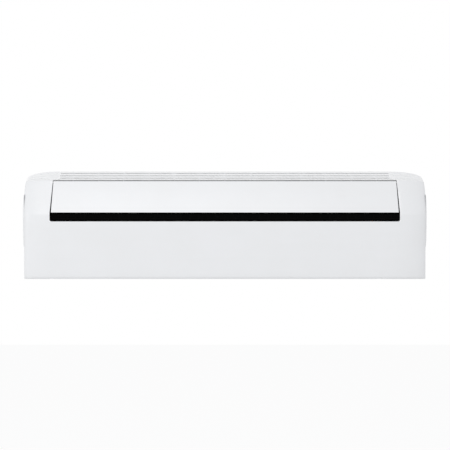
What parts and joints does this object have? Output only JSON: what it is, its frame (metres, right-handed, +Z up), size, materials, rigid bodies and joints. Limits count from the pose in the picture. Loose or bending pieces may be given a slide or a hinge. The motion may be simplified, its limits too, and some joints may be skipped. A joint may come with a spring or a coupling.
{
  "type": "mini split indoor unit",
  "caption": "Wall-mounted air conditioner indoor unit: white casing with a hinged inlet flap over a black slot, top grille, coil, cross-flow fan and a tilting outlet vane.",
  "frame": {"origin": "on the wall plane, at the middle of the mounting plate's back face, level with the middle of the casing's height", "axes": "+X to the right as seen from the room, +Y into the wall, +Z up"},
  "size_m": [1.12, 0.232, 0.2984],
  "materials": {
    "white_plastic": "cool white, semi-gloss moulded",
    "black_plastic": "black, fine grain",
    "grey_plastic": "light grey moulded",
    "dark_plastic": "dark grey moulded",
    "pan_plastic": "pale grey moulded",
    "filter_net": "fine woven net in a moulded frame",
    "coil_fins": "close bright fins",
    "copper_tube": "drawn copper, slightly dulled",
    "brass_nut": "turned brass",
    "galvanised_steel": "zinc-plated sheet, soft spangle",
    "black_rubber": "black moulded rubber",
    "board_green": "green solder mask"
  },
  "bodies": {
    "unit": {"mounting_plate": "galvanised_steel", "chassis": "grey_plastic", "front_casing": "white_plastic", "top_grille": "white_plastic", "slot_grille": "black_plastic", "end_cap_left": "white_plastic", "end_cap_right": "white_plastic", "coil_front_lower": "coil_fins", "coil_front_upper": "coil_fins", "coil_rear": "coil_fins", "coil_plate_left": "copper_tube", "coil_plate_right": "copper_tube", "gas_pipe": "copper_tube", "gas_flare_nut": "brass_nut", "liquid_pipe": "copper_tube", "liquid_flare_nut": "brass_nut", "pipe_clamp": "dark_plastic", "coil_sensor": "copper_tube", "fan_bearing": "black_rubber", "bearing_holder": "grey_plastic", "fan_motor": "galvanised_steel", "motor_clamp": "galvanised_steel", "drain_pan": "pan_plastic", "drain_spigot": "dark_plastic", "drain_plug": "black_rubber", "vane_bush": "dark_plastic", "vane_motor": "galvanised_steel", "control_box": "grey_plastic", "control_box_cover": "grey_plastic", "cover_screw_1": "galvanised_steel", "cover_screw_2": "galvanised_steel", "control_board": "board_green", "terminal_block": "dark_plastic", "capacitor": "coil_fins", "display_board": "board_green", "casing_screw_1": "galvanised_steel", "casing_screw_2": "galvanised_steel"},
    "flap": {"front_flap": "white_plastic"},
    "left_filter": {"filter_left": "filter_net"},
    "right_filter": {"filter_right": "filter_net"},
    "fan": {"fan_rotor": "dark_plastic"},
    "vane": {"outlet_vane": "white_plastic"},
    "button": {"run_button": "white_plastic"},
    "guide_left_1": {"guide_vane_left_1": "dark_plastic"},
    "guide_left_2": {"guide_vane_left_2": "dark_plastic"},
    "guide_left_3": {"guide_vane_left_3": "dark_plastic"},
    "guide_left_4": {"guide_vane_left_4": "dark_plastic"},
    "bar_left": {"link_bar_left": "dark_plastic"},
    "guide_right_1": {"guide_vane_right_1": "dark_plastic"},
    "guide_right_2": {"guide_vane_right_2": "dark_plastic"},
    "guide_right_3": {"guide_vane_right_3": "dark_plastic"},
    "guide_right_4": {"guide_vane_right_4": "dark_plastic"},
    "bar_right": {"link_bar_right": "dark_plastic"}
  },
  "joints": [
    {"name": "flap_hinge", "type": "hinge", "parent": "unit", "child": "flap", "pos_m": [0, -0.1965, 0.118], "axis": [-1, 0, 0], "range_deg": [0, 75]},
    {"name": "left_filter_slide", "type": "slide", "parent": "unit", "child": "left_filter", "axis": [0, 0.2152, 0.9766], "range_m": [0, 0.14]},
    {"name": "right_filter_slide", "type": "slide", "parent": "unit", "child": "right_filter", "axis": [0, 0.2152, 0.9766], "range_m": [0, 0.14]},
    {"name": "fan_spin", "type": "hinge", "parent": "unit", "child": "fan", "pos_m": [0, -0.112, -0.042], "axis": [1, 0, 0], "continuous": true},
    {"name": "vane_tilt", "type": "hinge", "parent": "unit", "child": "vane", "pos_m": [0, -0.1695, -0.144], "axis": [1, 0, 0], "range_deg": [0, 75]},
    {"name": "button_press", "type": "slide", "parent": "unit", "child": "button", "axis": [0, 1, 0], "range_m": [0, 0.002], "stiffness_N_per_m": 300},
    {"name": "swing_left_1", "type": "hinge", "parent": "unit", "child": "guide_left_1", "pos_m": [-0.095, -0.148, -0.13615], "axis": [0, -0.5736, 0.8192], "range_deg": [-30, 30]},
    {"name": "swing_left_2", "type": "hinge", "parent": "unit", "child": "guide_left_2", "pos_m": [-0.199, -0.148, -0.13615], "axis": [0, -0.5736, 0.8192], "range_deg": [-30, 30]},
    {"name": "swing_left_3", "type": "hinge", "parent": "unit", "child": "guide_left_3", "pos_m": [-0.303, -0.148, -0.13615], "axis": [0, -0.5736, 0.8192], "range_deg": [-30, 30]},
    {"name": "swing_left_4", "type": "hinge", "parent": "unit", "child": "guide_left_4", "pos_m": [-0.407, -0.148, -0.13615], "axis": [0, -0.5736, 0.8192], "range_deg": [-30, 30]},
    {"name": "bar_left_slide", "type": "slide", "parent": "unit", "child": "bar_left", "axis": [1, 0, 0], "range_m": [-0.0071, 0.0071]},
    {"name": "swing_right_1", "type": "hinge", "parent": "unit", "child": "guide_right_1", "pos_m": [0.045, -0.148, -0.13615], "axis": [0, -0.5736, 0.8192], "range_deg": [-30, 30]},
    {"name": "swing_right_2", "type": "hinge", "parent": "unit", "child": "guide_right_2", "pos_m": [0.149, -0.148, -0.13615], "axis": [0, -0.5736, 0.8192], "range_deg": [-30, 30]},
    {"name": "swing_right_3", "type": "hinge", "parent": "unit", "child": "guide_right_3", "pos_m": [0.253, -0.148, -0.13615], "axis": [0, -0.5736, 0.8192], "range_deg": [-30, 30]},
    {"name": "swing_right_4", "type": "hinge", "parent": "unit", "child": "guide_right_4", "pos_m": [0.357, -0.148, -0.13615], "axis": [0, -0.5736, 0.8192], "range_deg": [-30, 30]},
    {"name": "bar_right_slide", "type": "slide", "parent": "unit", "child": "bar_right", "axis": [1, 0, 0], "range_m": [-0.0071, 0.0071]}
  ],
  "couplings": [
    {"joint": "swing_left_1", "follows": "bar_left_slide", "rad_per_m": 73.5},
    {"joint": "swing_left_2", "follows": "bar_left_slide", "rad_per_m": 73.5},
    {"joint": "swing_left_3", "follows": "bar_left_slide", "rad_per_m": 73.5},
    {"joint": "swing_left_4", "follows": "bar_left_slide", "rad_per_m": 73.5},
    {"joint": "swing_right_1", "follows": "bar_right_slide", "rad_per_m": 73.5},
    {"joint": "swing_right_2", "follows": "bar_right_slide", "rad_per_m": 73.5},
    {"joint": "swing_right_3", "follows": "bar_right_slide", "rad_per_m": 73.5},
    {"joint": "swing_right_4", "follows": "bar_right_slide", "rad_per_m": 73.5}
  ]
}
